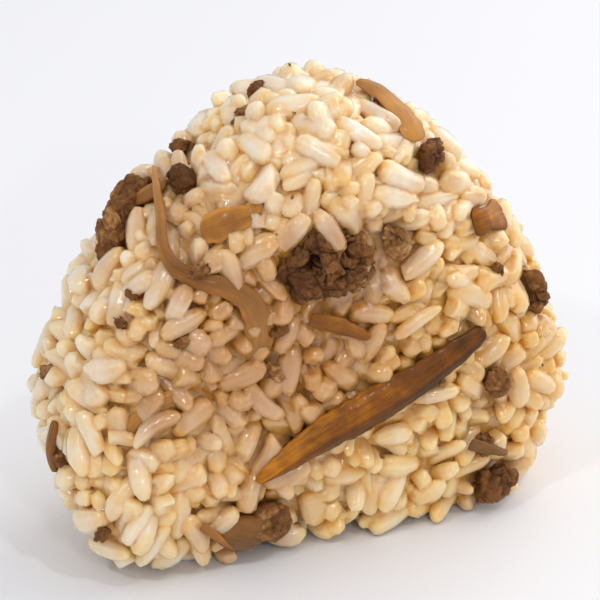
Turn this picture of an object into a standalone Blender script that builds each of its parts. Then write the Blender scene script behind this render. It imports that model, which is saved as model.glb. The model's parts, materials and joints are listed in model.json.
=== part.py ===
"""A hand-pressed rice ball of seasoned chicken rice, standing on its flat foot.

One solid is the rice: a rounded triangular body with rice grains and small meat crumbs pressed into
its skin. Each larger lump of minced chicken and each sliver of burdock root is a solid of its own,
bedded in a socket in the rice. Metres, +Z up; the broad face that shows looks towards -Y.
"""

import math
import random

import bmesh
import bpy
import numpy as np
from mathutils import Matrix, Vector, noise
from mathutils.bvhtree import BVHTree

# Rounded triangle of the broad face: x, z and radius of the three discs that it is stretched over.
FACE_DISCS = {
    "left_corner": (-0.0215, 0.0190, 0.0170),
    "right_corner": (0.0155, 0.0160, 0.0240),
    "top": (0.0015, 0.0495, 0.0155),
}
FACE_SWELL = 0.0059  # how far the sides between the discs bulge
THICKNESS = 0.0370  # front to back
EDGE_SHAPE = 3.1  # exponent of the section through the thickness: 2 is round, more is squarer
CENTRE = Vector((-0.0015, 0.0, 0.0260))  # every direction below is seen from here

# Low bulges and hollows left by the hand: place from CENTRE, height, spread.
SWELLS = {
    "foot": ((-0.0265, -0.0155, -0.0185), 0.0070, 0.0083),
    "brow": ((-0.0010, -0.0130, 0.0250), 0.0012, 0.0060),
    "face_hollow": ((-0.0108, -0.0183, 0.0040), -0.0022, 0.0065),
    "back_hollow": ((0.0060, 0.0180, 0.0020), -0.0015, 0.0080),
}

# A cooked short grain, and how the grains lie in the skin.
GRAIN_LENGTH = 0.0074
GRAIN_WIDTH = 0.0032
GRAIN_THICKNESS = 0.0028
GRAIN_SIDES = 5
GRAIN_SPACING = 0.0050
GRAIN_TILT = math.radians(14)  # how far an end may point out of the skin
GRAIN_TRIES = 10  # turns tried for a grain beside a bedded piece
CORE_DEPTH = 0.0014  # the bare core lies this far under the outermost grains
CORE_CUTS = 6  # cuts across each side of the cube that is blown up into the core
CLEARANCE = 0.0003  # between the rice and each piece bedded in it
SHARP_ANGLE = math.radians(50)
SEED = 7

# Minced chicken: direction (longitude from the front towards +X, latitude), then width, height and
# depth, turn in the skin in degrees, and how far its middle lies under the skin.
CHICKEN = {
    "chicken_center": ((1, 44.5), (0.0146, 0.0110, 0.0084), 8, 0.0028),
    "chicken_center_right": ((29, 45), (0.0038, 0.0064, 0.0048), 20, 0.0016),
    "chicken_upper_left": ((-84, 59), (0.0062, 0.0044, 0.0044), 20, 0.0010),
    "chicken_left": ((-98, 41.5), (0.0062, 0.0146, 0.0058), 26, 0.0005),
    "chicken_top_right": ((56, 56), (0.0066, 0.0040, 0.0044), 25, 0.0004),
    "chicken_right_edge": ((70, 11), (0.0036, 0.0080, 0.0042), 10, 0.0006),
    "chicken_right_small": ((56, -8), (0.0044, 0.0052, 0.0040), 0, 0.0008),
    "chicken_right_foot": ((61, -36), (0.0078, 0.0062, 0.0056), 25, 0.0008),
    "chicken_base": ((-28, -46), (0.0088, 0.0062, 0.0054), -10, 0.0016),
    "chicken_back_center": ((172, 12), (0.0110, 0.0086, 0.0070), 30, 0.0020),
    "chicken_back_left": ((-143, -14), (0.0066, 0.0054, 0.0050), 60, 0.0012),
    "chicken_back_right": ((118, 34), (0.0056, 0.0074, 0.0050), -20, 0.0010),
    "chicken_back_foot": ((150, -34), (0.0070, 0.0050, 0.0048), 15, 0.0012),
    "chicken_back_top": ((-160, 58), (0.0050, 0.0062, 0.0044), 40, 0.0010),
}
CHICKEN_ROUGHNESS = 0.30  # of the lump's size
CHICKEN_CRUMB = 2.6  # crumbs across a lump
BIG_LUMP = 0.0115  # a lump this long gets the finer mesh

# Burdock slivers: directions along the sliver, width at its two ends and middle, thickness, depth.
BURDOCK = {
    "burdock_long": ([(-33, -28), (-10, -21), (14, -11), (36, 0), (53, 9)],
                     (0.0006, 0.0052, 0.0010), 0.0030, 0.0002),
    "burdock_curl": ([(-104, 55.5), (-88, 53), (-74, 48), (-67, 42.5), (-61, 39), (-53, 37.5), (-44, 37.5),
                      (-36, 35), (-32, 27), (-33, 15.5)], (0.0008, 0.0024, 0.0036), 0.0014, 0.0002),
    "burdock_top_right": ([(89, 75), (79, 70.5), (65, 67), (57, 63.5), (53, 60)],
                          (0.0008, 0.0034, 0.0024), 0.0016, 0.0002),
    "burdock_under_center": ([(-12, 31), (2, 27), (15, 20)], (0.0020, 0.0024, 0.0008), 0.0014, 0.0006),
    "burdock_slice": ([(-55, 50), (-45, 53.5), (-34, 56)], (0.0034, 0.0056, 0.0016), 0.0014, 0.0014),
    "burdock_right": ([(57, 37), (63, 35), (72, 31.5)], (0.0044, 0.0040, 0.0050), 0.0020, 0.0004),
    "burdock_base": ([(-47, -31), (-44, -38), (-41, -46)], (0.0014, 0.0012, 0.0006), 0.0010, 0.0000),
    "burdock_left": ([(-63, -4), (-58, 1), (-53, 4)], (0.0014, 0.0030, 0.0020), 0.0014, 0.0014),
    "burdock_back_long": ([(138, -8), (155, -12), (172, -17), (-172, -20)],
                          (0.0008, 0.0042, 0.0012), 0.0024, 0.0002),
    "burdock_back_curl": ([(-128, 40), (-140, 32), (-156, 29), (-170, 34), (-178, 44)],
                          (0.0010, 0.0022, 0.0014), 0.0014, 0.0002),
    "burdock_back_right": ([(100, 2), (112, 8), (122, 16)], (0.0012, 0.0030, 0.0010), 0.0016, 0.0002),
    "burdock_back_foot": ([(-118, -30), (-130, -36), (-146, -38)], (0.0010, 0.0024, 0.0010), 0.0014, 0.0004),
}
SLIVER_SIDES = 5
SLIVER_STEP = 0.0032  # length of one facet along a sliver

# Meat crumbs and specks too small to stand alone, fused to the rice: direction and length.
CRUMBS = [
    ((-98, 50), 0.0030), ((-107, 63), 0.0038), ((-85, 78), 0.0034), ((-135, 82), 0.0036), ((-71, 21), 0.0030),
    ((-94, 0), 0.0044), ((-66, -25), 0.0034), ((55, -26), 0.0042), ((-27, 9), 0.0040),
    ((-25, 27), 0.0038), ((-54, 20), 0.0030), ((60, 22), 0.0028), ((-71, 29), 0.0034),
    ((40, -4), 0.0028), ((-82, -14), 0.0052), ((100, 40), 0.0036), ((130, 5), 0.0034),
    ((-120, 12), 0.0036), ((-165, 5), 0.0032), ((145, 45), 0.0034), ((-150, -30), 0.0034),
    ((175, -5), 0.0030), ((95, -20), 0.0036),
]

COLOURS = {
    "rice": ((0.80, 0.64, 0.42), 0.45),
    "chicken": ((0.17, 0.085, 0.042), 0.60),
    "burdock": ((0.33, 0.155, 0.045), 0.40),
}


def clear_scene():
    for found in list(bpy.data.objects):
        bpy.data.objects.remove(found)


def make_material(name):
    colour, roughness = COLOURS[name]
    material = bpy.data.materials.new(name)
    material.use_nodes = True
    shader = material.node_tree.nodes["Principled BSDF"]
    shader.inputs["Base Color"].default_value = (*colour, 1.0)
    shader.inputs["Roughness"].default_value = roughness
    shader.inputs["Metallic"].default_value = 0.0
    return material


def add_object(name, body, material, place=None, collection=None):
    """Turns a closed bmesh into an object standing at its place, with its faces outward."""
    if body.calc_volume(signed=True) < 0:
        bmesh.ops.reverse_faces(body, faces=body.faces)
    mesh = bpy.data.meshes.new(name)
    body.to_mesh(mesh)
    body.free()
    mesh.materials.append(material)
    made = bpy.data.objects.new(name, mesh)
    made.matrix_world = place or Matrix()
    (collection or bpy.context.scene.collection).objects.link(made)
    return made


# ---------------------------------------------------------------- the pressed form


def face_outline():
    """Polar angle and radius of the broad face, seen from CENTRE: a smooth hull of the three discs."""
    angle = np.radians(np.arange(0.0, 360.0, 1.0))
    outward = np.stack([np.cos(angle), np.sin(angle)], axis=1)
    along = np.stack([-np.sin(angle), np.cos(angle)], axis=1)
    discs = np.array(list(FACE_DISCS.values()))
    middles = discs[:, :2] - np.array([CENTRE.x, CENTRE.z])
    reach = middles @ outward.T + discs[:, 2:]
    furthest = reach.max(axis=0)
    share = np.exp((reach - furthest) / FACE_SWELL)
    total = share.sum(axis=0)
    support = furthest + FACE_SWELL * np.log(total)
    slope = ((share / total).T @ middles * along).sum(axis=1)
    points = support[:, None] * outward + slope[:, None] * along
    polar = np.arctan2(points[:, 1], points[:, 0])
    order = np.argsort(polar)
    return polar[order], np.hypot(points[:, 0], points[:, 1])[order]


OUTLINE = face_outline()


def skin_radius(directions, depth=0.0):
    """Distance from CENTRE to the skin, or to a shell depth under it, along each unit direction."""
    polar = np.arctan2(directions[:, 2], directions[:, 0])
    face = np.interp(polar, *OUTLINE, period=2 * math.pi)
    across = np.hypot(directions[:, 0], directions[:, 2]) / face
    through = np.abs(directions[:, 1]) / (THICKNESS / 2)
    radius = (across**EDGE_SHAPE + through**EDGE_SHAPE) ** (-1 / EDGE_SHAPE)
    for place, height, spread in SWELLS.values():
        away = ((directions * radius[:, None] - np.array(place)) ** 2).sum(axis=1)
        radius = radius + height * np.exp(-away / (2 * spread**2))
    radius = radius - depth
    downward = np.maximum(-directions[:, 2], 1e-9)
    return np.minimum(radius, CENTRE.z / downward)


def toward(longitude, latitude):
    """Unit direction from CENTRE: longitude 0 is the front (-Y) and 90 is +X."""
    turn, rise = math.radians(longitude), math.radians(latitude)
    return Vector((math.sin(turn) * math.cos(rise), -math.cos(turn) * math.cos(rise), math.sin(rise)))


def skin_point(direction, depth=0.0):
    return CENTRE + direction * float(skin_radius(np.array([direction]), depth)[0])


def skin_normal(direction):
    """Outward normal of the skin where a direction meets it, from three nearby points."""
    side = direction.orthogonal().normalized() * 0.05
    other = direction.cross(side)
    here = [skin_point((direction + step).normalized()) for step in (side + other, -side, side - other)]
    normal = (here[1] - here[0]).cross(here[2] - here[0]).normalized()
    return normal if normal.dot(direction) > 0 else -normal


def skin_place(direction, turn_degrees, depth):
    """Where a piece lies in the skin: X sideways, Y up, both turned about the normal Z."""
    normal = skin_normal(direction)
    sideways = Vector((0, 0, 1)).cross(normal).normalized()
    axes = Matrix((sideways, normal.cross(sideways), normal)).transposed()
    spot = Matrix.Translation(skin_point(direction) - normal * depth)
    return spot @ axes.to_4x4() @ Matrix.Rotation(math.radians(turn_degrees), 4, "Z")


# ---------------------------------------------------------------- chicken and burdock


def crumbly_lump(size, subdivisions, seed):
    """A bmesh lump of minced meat: a ball stretched to size and broken up by noise."""
    body = bmesh.new()
    bmesh.ops.create_icosphere(body, subdivisions=subdivisions, radius=0.5)
    for vert in body.verts:
        at = vert.co * CHICKEN_CRUMB + Vector((seed, 0, 0))
        vert.co *= 1 + CHICKEN_ROUGHNESS * (noise.noise(at) + 0.6 * noise.noise(at * 2.3))
    bmesh.ops.scale(body, verts=body.verts, vec=size)
    return body


def make_chicken(name, index, material):
    (longitude, latitude), size, turn, depth = CHICKEN[name]
    place = skin_place(toward(longitude, latitude), turn, depth)
    subdivisions = 3 if max(size) > BIG_LUMP else 2
    return add_object(name, crumbly_lump(size, subdivisions, 3.7 * index), material, place)


def smooth_path(points, share):
    """The point at a share of the way along a Catmull-Rom curve through the points."""
    place = share * (len(points) - 1)
    first = min(int(place), len(points) - 2)
    t = place - first
    before = points[max(first - 1, 0)]
    start, end = points[first], points[first + 1]
    after = points[min(first + 2, len(points) - 1)]
    return 0.5 * (2 * start + (end - before) * t + (2 * before - 5 * start + 4 * end - after) * t**2
                  + (3 * start - before - 3 * end + after) * t**3)


def make_burdock(name, material):
    """A sliver of root: a prism laid along the skin, widest in its middle and thin at its ends."""
    directions, (start_width, middle_width, end_width), thickness, depth = BURDOCK[name]
    points = [skin_point(toward(*place)) for place in directions]
    length = sum((b - a).length for a, b in zip(points, points[1:]))
    facets = max(3, round(length / SLIVER_STEP))
    body = bmesh.new()
    bmesh.ops.create_cone(body, cap_ends=True, segments=SLIVER_SIDES, radius1=0.5, radius2=0.5, depth=1.0)
    lengthwise = [edge for edge in body.edges if abs(edge.verts[0].co.z - edge.verts[1].co.z) > 0.5]
    bmesh.ops.subdivide_edges(body, edges=lengthwise, cuts=facets - 1, use_grid_fill=True)
    middle = smooth_path(points, 0.5)
    for vert in body.verts:
        share = vert.co.z + 0.5
        at = smooth_path(points, share)
        ahead = smooth_path(points, min(share + 0.02, 1)) - smooth_path(points, max(share - 0.02, 0))
        normal = skin_normal((at - CENTRE).normalized())
        sideways = ahead.normalized().cross(normal).normalized()
        bulge = math.sin(math.pi * share) ** 0.7
        width = (start_width * (1 - share) + end_width * share) * (1 - bulge) + middle_width * bulge
        height = thickness * (0.45 + 0.55 * bulge)
        vert.co = at - middle + sideways * (vert.co.x * width) + normal * (vert.co.y * height - depth)
    return add_object(name, body, material, Matrix.Translation(middle))


# ---------------------------------------------------------------- the rice


def make_core(material):
    """The bare rice body under the grains, flat where it stands."""
    body = bmesh.new()
    bmesh.ops.create_cube(body, size=2.0)
    bmesh.ops.subdivide_edges(body, edges=body.edges, cuts=CORE_CUTS, use_grid_fill=True)
    bmesh.ops.triangulate(body, faces=body.faces)
    for vert in body.verts:
        direction = vert.co.normalized()
        slant = max(direction.dot(skin_normal(direction)), 0.4)
        vert.co = skin_point(direction, CORE_DEPTH / slant)
    return add_object("rice", body, material)


def grain_shape(size):
    """A low, few-sided grain along X: two rings and two blunt tips."""
    body = bmesh.new()
    turned = Matrix.Rotation(math.radians(90), 4, "Y")
    bmesh.ops.create_uvsphere(body, u_segments=GRAIN_SIDES, v_segments=3, radius=0.5, matrix=turned)
    widest = math.sin(math.radians(60))
    bmesh.ops.scale(body, verts=body.verts, vec=(size[0], size[1] / widest, size[2] / widest))
    return body


def clearance_copy(source, gap, collection):
    """A copy of a piece, grown by the gap on every side, that cuts its socket."""
    body = bmesh.new()
    body.from_mesh(source.data)
    body.normal_update()
    moves = [vert.normal * gap * min(vert.calc_shell_factor(), 2.0) for vert in body.verts]
    for vert, move in zip(body.verts, moves):
        vert.co += move
    add_object(source.name + "_socket", body, source.data.materials[0], source.matrix_world, collection)


def tree_of(source):
    return BVHTree.FromPolygons([source.matrix_world @ vert.co for vert in source.data.vertices],
                                [face.vertices for face in source.data.polygons])


def is_clear(points, room, trees):
    """True if every point keeps this room from every piece, and lies outside it."""
    for tree in trees:
        for point in points:
            if tree.find_nearest(point)[3] < room:
                return False
            outward = (point - CENTRE).normalized()
            wall, normal, _, _ = tree.ray_cast(point, outward)
            if wall and normal.dot(outward) > 0:
                return False
    return True


def spread_directions(rng, taken):
    """Random directions whose points on the skin keep the grains' spacing, until no more fit."""
    kept, misses = list(taken), 0
    found = []
    while misses < 2500:
        direction = Vector([rng.gauss(0, 1) for _ in range(3)]).normalized()
        point = skin_point(direction)
        if point.z < GRAIN_THICKNESS / 2 or any((point - other).length < GRAIN_SPACING for other in kept):
            misses += 1
            continue
        misses = 0
        kept.append(point)
        found.append(direction)
    return found


def place_grain(direction, turn, rng):
    """A grain lying in the skin at this direction, raised if it would reach the ground."""
    grow = rng.uniform(0.9, 1.08)
    size = (GRAIN_LENGTH * grow, GRAIN_WIDTH * rng.uniform(0.94, 1.06), GRAIN_THICKNESS * grow)
    place = skin_place(direction, turn, size[2] / 2 + rng.uniform(-0.0003, 0.0003))
    place = place @ Matrix.Rotation(rng.uniform(-GRAIN_TILT, GRAIN_TILT), 4, "Y")
    body = grain_shape(size)
    lowest = min((place @ vert.co).z for vert in body.verts)
    place = Matrix.Translation((0, 0, max(CLEARANCE - lowest, 0))) @ place
    spine = [place @ Vector((size[0] * share, 0, 0)) for share in (-0.42, -0.2, 0, 0.2, 0.42)]
    return body, place, spine, size[1] / 2


def add_grains(collection, trees, crumb_points, material):
    """Grains of true size, half sunk in the core, turned or left out to clear the bedded pieces."""
    rng = random.Random(SEED)
    for direction in spread_directions(rng, crumb_points):
        for _ in range(GRAIN_TRIES):
            body, place, spine, girth = place_grain(direction, rng.uniform(0, 180), rng)
            if is_clear(spine, girth + CLEARANCE, trees):
                add_object("grain", body, material, place, collection)
                break
            body.free()


def add_crumbs(collection, trees, material):
    """Small crumbs and specks sunk in the skin; returns where they lie."""
    middles = []
    for index, (direction, length) in enumerate(CRUMBS):
        place = skin_place(toward(*direction), 40.0 * index, 0.3 * length)
        middle = place.translation
        if is_clear([middle], length / 2 + CLEARANCE, trees):
            size = (length, 0.66 * length, 0.72 * length)
            add_object("crumb", crumbly_lump(size, 1, 11.3 * index), material, place, collection)
            middles.append(middle)
    return middles


def apply_boolean(target, operation, collection, solver):
    """Joins or cuts the target with every object of a collection, then removes them."""
    modifier = target.modifiers.new(operation, "BOOLEAN")
    modifier.operation = operation
    modifier.operand_type = "COLLECTION"
    modifier.collection = collection
    modifier.solver = solver
    bpy.context.view_layer.update()
    graph = bpy.context.evaluated_depsgraph_get()
    mesh = bpy.data.meshes.new_from_object(target.evaluated_get(graph))
    target.modifiers.remove(modifier)
    target.data = mesh
    for helper in list(collection.objects):
        bpy.data.objects.remove(helper)
    bpy.data.collections.remove(collection)


def keep_largest_shell(target):
    """Drops loose scraps and fills hollows that the joined grains seal, by keeping the outer shell."""
    body = bmesh.new()
    body.from_mesh(target.data)
    unseen, shells = set(body.verts), []
    while unseen:
        shell, front = set(), [unseen.pop()]
        while front:
            vert = front.pop()
            shell.add(vert)
            for edge in vert.link_edges:
                other = edge.other_vert(vert)
                if other in unseen:
                    unseen.remove(other)
                    front.append(other)
        shells.append(shell)
    shells.sort(key=len)
    bmesh.ops.delete(body, geom=[vert for shell in shells[:-1] for vert in shell], context="VERTS")
    bmesh.ops.triangulate(body, faces=body.faces)
    body.to_mesh(target.data)
    body.free()


def helper_collection(name):
    collection = bpy.data.collections.new(name)
    bpy.context.scene.collection.children.link(collection)
    return collection


def main():
    clear_scene()
    materials = {name: make_material(name) for name in COLOURS}
    pieces = [make_chicken(name, index, materials["chicken"]) for index, name in enumerate(CHICKEN)]
    pieces += [make_burdock(name, materials["burdock"]) for name in BURDOCK]
    trees = [tree_of(piece) for piece in pieces]

    rice = make_core(materials["rice"])
    sockets = helper_collection("sockets")
    for piece in pieces:
        clearance_copy(piece, CLEARANCE, sockets)
    apply_boolean(rice, "DIFFERENCE", sockets, "EXACT")

    grains = helper_collection("grains")
    crumb_points = add_crumbs(grains, trees, materials["rice"])
    add_grains(grains, trees, crumb_points, materials["rice"])
    apply_boolean(rice, "UNION", grains, "MANIFOLD")
    keep_largest_shell(rice)

    for piece in pieces + [rice]:
        piece.data.shade_smooth()
        piece.data.set_sharp_from_angle(angle=SHARP_ANGLE)


main()
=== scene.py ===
import json
import math
from functools import partial

import bmesh
import bpy
import numpy as np
from mathutils import Matrix, Vector, noise
from mathutils.bvhtree import BVHTree
from mathutils.kdtree import KDTree

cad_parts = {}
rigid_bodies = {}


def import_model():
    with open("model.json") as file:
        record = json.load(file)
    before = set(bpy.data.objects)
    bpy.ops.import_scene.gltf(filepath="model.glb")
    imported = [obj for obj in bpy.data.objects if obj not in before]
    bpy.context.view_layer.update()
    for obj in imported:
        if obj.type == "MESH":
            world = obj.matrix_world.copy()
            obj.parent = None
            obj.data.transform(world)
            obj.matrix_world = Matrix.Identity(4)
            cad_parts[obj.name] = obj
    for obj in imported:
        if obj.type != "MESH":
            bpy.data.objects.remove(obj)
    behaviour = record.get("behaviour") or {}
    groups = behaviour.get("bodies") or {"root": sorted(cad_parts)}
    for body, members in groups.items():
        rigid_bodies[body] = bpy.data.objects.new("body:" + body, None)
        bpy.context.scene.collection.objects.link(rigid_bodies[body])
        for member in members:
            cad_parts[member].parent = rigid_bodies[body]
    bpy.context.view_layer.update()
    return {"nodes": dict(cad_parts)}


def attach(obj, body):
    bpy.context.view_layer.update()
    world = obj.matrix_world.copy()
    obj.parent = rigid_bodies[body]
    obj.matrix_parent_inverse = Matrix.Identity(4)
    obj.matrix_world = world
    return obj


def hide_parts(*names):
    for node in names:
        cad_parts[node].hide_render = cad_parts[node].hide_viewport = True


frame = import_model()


def linearColor(hexText):
    # sRGB hex to the linear values that the shaders take
    parts = [int(hexText[i:i + 2], 16) / 255 for i in (1, 3, 5)]
    return tuple(c / 12.92 if c <= 0.04045 else ((c + 0.055) / 1.055) ** 2.4 for c in parts) + (1.0,)


def setInputs(node, inputs):
    # an input is a value, another node's output, or a node whose first output is meant
    for key, value in inputs.items():
        if isinstance(value, bpy.types.Node):
            value = next(output for output in value.outputs if output.enabled)
        if isinstance(value, bpy.types.NodeSocket):
            node.id_data.links.new(value, node.inputs[key])
        else:
            node.inputs[key].default_value = value


def addNode(tree, kind, inputs=None, **settings):
    node = tree.nodes.new("ShaderNode" + kind)
    for name, value in settings.items():
        setattr(node, name, value)
    setInputs(node, inputs or {})
    return node


def startMaterial(name, inputs):
    # returns the material, its shader and addNode for its own tree
    material = bpy.data.materials.new(name)
    material.use_nodes = True
    shader = material.node_tree.nodes["Principled BSDF"]
    setInputs(shader, inputs)
    return material, shader, partial(addNode, material.node_tree)


def readAttributes(add, *names):
    return [add("Attribute", attribute_name=name).outputs["Fac"] for name in names]


def fillRamp(node, low, middle, high):
    ramp = node.color_ramp.elements
    ramp[0].color, ramp[1].color = linearColor(low), linearColor(high)
    ramp.new(0.5).color = linearColor(middle)


def addObject(name, data):
    made = bpy.data.objects.new(name, data)
    bpy.context.scene.collection.objects.link(made)
    return made


def setAttributes(mesh, **attributes):
    for name, values in attributes.items():
        made = mesh.attributes.new(name, "FLOAT", "POINT")
        made.data.foreach_set("value", np.asarray(values, np.float32))


def finishMesh(body, **attributes):
    mesh = bpy.data.meshes.new("mesh")
    body.to_mesh(mesh)
    body.free()
    setAttributes(mesh, **attributes)
    return mesh


def cornersOf(shape):
    return np.array([vert.co for vert in shape])


def addPiece(name, mesh, material, replaced=()):
    # one visible piece, riding on the CAD body and standing for the named CAD nodes
    mesh.name = name
    mesh.materials.clear()
    mesh.materials.append(material)
    mesh.shade_smooth()
    piece = addObject(name, mesh)
    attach(piece, "root")
    if replaced:
        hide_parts(*replaced)


# The pressed form, the same as the solids have: a rounded triangle with a flat base
form = {
    "discs": [  # x, z and radius of the discs that the broad face is stretched over
        (-0.0215, 0.0190, 0.0170),
        (0.0155, 0.0160, 0.0240),
        (0.0015, 0.0495, 0.0155),
    ],
    "swell": 0.0059,  # how far the sides between the discs bulge
    "thickness": 0.0370,
    "edgeShape": 3.1,  # of the section through the thickness: 2 is round, more is squarer
    "centre": (-0.0015, 0.0, 0.0260),
    "handMarks": [  # place from the centre, height and spread
        ((-0.0265, -0.0155, -0.0185), 0.0070, 0.0083),  # left foot
        ((-0.0010, -0.0130, 0.0250), 0.0012, 0.0060),  # brow
        ((-0.0108, -0.0183, 0.0040), -0.0022, 0.0065),  # hollow in the face
        ((0.0060, 0.0180, 0.0020), -0.0015, 0.0080),  # hollow in the back
    ],
}
centre = np.array(form["centre"])


def faceOutline():
    # distance from the centre to the edge of the broad face, all the way round
    angle = np.radians(np.arange(0.0, 360.0, 1.0))
    outward = np.stack([np.cos(angle), np.sin(angle)], axis=1)
    along = np.stack([-np.sin(angle), np.cos(angle)], axis=1)
    discs = np.array(form["discs"])
    middles = discs[:, :2] - centre[[0, 2]]
    reach = middles @ outward.T + discs[:, 2:]
    furthest = reach.max(axis=0)
    share = np.exp((reach - furthest) / form["swell"])
    total = share.sum(axis=0)
    support = furthest + form["swell"] * np.log(total)
    slope = ((share / total).T @ middles * along).sum(axis=1)
    points = support[:, None] * outward + slope[:, None] * along
    polar = np.arctan2(points[:, 1], points[:, 0])
    order = np.argsort(polar)
    return polar[order], np.hypot(points[:, 0], points[:, 1])[order]


outline = faceOutline()


def skinRadius(directions):
    # distance from the centre to the pressed skin along each direction
    polar = np.arctan2(directions[:, 2], directions[:, 0])
    face = np.interp(polar, *outline, period=2 * math.pi)
    across = np.hypot(directions[:, 0], directions[:, 2]) / face
    through = np.abs(directions[:, 1]) / (form["thickness"] / 2)
    power = form["edgeShape"]
    radius = (across ** power + through ** power) ** (-1 / power)
    for place, height, spread in form["handMarks"]:
        away = ((directions * radius[:, None] - np.array(place)) ** 2).sum(axis=1)
        radius = radius + height * np.exp(-away / (2 * spread ** 2))
    downward = np.maximum(-directions[:, 2], 1e-9)
    return np.minimum(radius, centre[2] / downward)


def skinDepth(points):
    # how deep points lie under the skin, and the outward direction there
    def level(at):
        far = np.linalg.norm(at, axis=1)
        return far - skinRadius(at / far[:, None])
    at = points - centre
    here = level(at)
    step = 0.0004
    rise = np.stack([level(at + step * axis) - level(at - step * axis) for axis in np.eye(3)], axis=1)
    slope = np.linalg.norm(rise, axis=1)
    return -here * 2 * step / slope, rise / slope[:, None]


def toward(longitude, latitude):
    # unit direction from the middle: longitude 0 is the front and 90 the right
    turn, lift = math.radians(longitude), math.radians(latitude)
    return Vector((math.sin(turn) * math.cos(lift), -math.cos(turn) * math.cos(lift), math.sin(lift)))


def skinPoint(direction, depth=0.0):
    far = float(skinRadius(np.array([direction]))[0])
    at = Vector(form["centre"]) + direction * far
    if depth:
        at -= Vector(skinDepth(np.array([at]))[1][0]) * depth
    return at


# crumbs of chicken bedded in the rice, by direction and length
looseCrumbs = [
    ((-98, 50), 0.003), ((-107, 63), 0.0038), ((-85, 78), 0.0034), ((-135, 82), 0.0036), ((-71, 21), 0.003),
    ((-94, 0), 0.0044), ((-66, -25), 0.0034), ((55, -26), 0.0042), ((-27, 9), 0.004),
    ((-25, 27), 0.0038), ((-54, 20), 0.003), ((60, 22), 0.0028), ((-71, 29), 0.0034),
    ((40, -4), 0.0028), ((-82, -14), 0.0052), ((100, 40), 0.0036), ((130, 5), 0.0034),
    ((-120, 12), 0.0036), ((-165, 5), 0.0032), ((145, 45), 0.0034), ((-150, -30), 0.0034),
    ((175, -5), 0.003), ((95, -20), 0.0036),
]
# one crumb stuck to a root, then dark flecks
raisedCrumbs = [((-52, 40.1), 0.0034), ((157, 81.2), 0.0012), ((-17, 77.1), 0.001), ((66, -5.9), 0.0011),
                ((41, -5.0), 0.0011), ((60, 22.4), 0.0012), ((-20, 60), 0.0008), ((20, -30), 0.0008),
                ((-150, 60), 0.001), ((170, -30), 0.001), ((120, -10), 0.0011)]

# The rice heap, packed by pushing overlapping grains apart
riceHeap = {
    "count": 2000,
    "kinds": {
        # share, (shortest, longest), width, thickness, (bluntness of the ends), (where an end is cut off)
        "plump": (0.50, (0.0064, 0.0080), 0.0036, 0.0031, (3.2, 5.6), (0.76, 1.2)),
        "slender": (0.34, (0.0068, 0.0084), 0.0031, 0.0027, (2.8, 4.6), (0.80, 1.2)),
        "broken": (0.16, (0.0044, 0.0064), 0.0034, 0.0029, (3.2, 5.6), (0.30, 0.75)),
    },
    "girthSpread": (0.93, 1.07),  # from grain to grain
    "sides": [(9, 8), (6, 5)],  # steps round and along a grain that shows and one that hardly does
    "hiddenDepth": 0.0034,
    "depths": (0.0014, 0.0048),  # of the middles of the highest and the lowest grains
    "coreDepth": (0.0028, 0.0034),  # under close-packed rice and under loose rice
    "proud": (-0.0010, 0.0030),  # how far a grain's end stays back from the skin
    "squeeze": (0.86, 0.99),  # how much of its girth a grain keeps free of others, packed close and loose
    "places": 60000,  # tried for the grains to start from
    "rounds": 130,
    "push": 1.3,  # of what would part two grains, per round
    "reach": (0.0082, 0.0072),  # how far a grain looks for grains and for toppings
    "footing": 0.95,  # of a grain's girth above the ground, so the lowest are pressed a little flat
    "seed": 11,
}
looseRice = {"height": 0.040, "run": 0.022, "start": 0.30, "left": -0.012, "leftRun": 0.030}


def looseness(points):
    # the rice is pressed close over the top and loose towards the foot and the left corner, 0 to 1
    left = np.maximum(looseRice["left"] - points[:, 0], 0) / looseRice["leftRun"]
    along = (looseRice["height"] - points[:, 2]) / looseRice["run"] - looseRice["start"] + left
    return np.clip(along, 0, 1)


def shareAlong(points, start, line):
    # how far along a line each point lies, from 0 to 1
    return np.clip(((points - start) * line).sum(-1) / (line ** 2).sum(-1), 0, 1)


def closestOnPair(a1, b1, a2, b2):
    # where two straight grains come closest, as a share of the way along each
    d1, d2, gap = b1 - a1, b2 - a2, a1 - a2
    a, e, b = (d1 * d1).sum(1), (d2 * d2).sum(1), (d1 * d2).sum(1)
    c, f = (d1 * gap).sum(1), (d2 * gap).sum(1)
    s = np.clip((b * f - c * e) / np.maximum(a * e - b * b, 1e-18), 0, 1)
    t = np.clip((b * s + f) / e, 0, 1)
    s = np.clip((b * t - c) / a, 0, 1)
    return s, t


def unit(rows):
    # rows of numbers at length 1
    return rows / np.linalg.norm(rows, axis=1)[:, None]


def startGrains(rng):
    # places spread evenly over the skin, a random depth under it, pointing anywhere
    directions = unit(rng.normal(size=(riceHeap["places"], 3)))
    radius = skinRadius(directions)
    _, outward = skinDepth(centre + directions * radius[:, None] * 0.999)
    skin = centre + directions * radius[:, None]
    area = radius ** 2 / np.maximum((outward * directions).sum(1), 0.2)
    area /= np.interp(looseness(skin), (0, 1), riceHeap["squeeze"]) ** 2
    chosen = rng.choice(len(area), riceHeap["count"], replace=False, p=area / area.sum())
    depth = rng.uniform(*riceHeap["depths"], riceHeap["count"])
    middle = skin[chosen] - outward[chosen] * depth[:, None]
    return middle, unit(rng.normal(size=middle.shape))


def shove(push, touches, rows, weights, move):
    # adds a move to each end of the grains, by its share in it
    for end, weight in enumerate(weights):
        np.add.at(push, (rows, end), move * weight[:, None])
        np.add.at(touches, (rows, end), weight)


def endsOf(middle, axis, span):
    half = axis * span[:, None] / 2
    return np.stack([middle - half, middle + half], axis=1)


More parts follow.
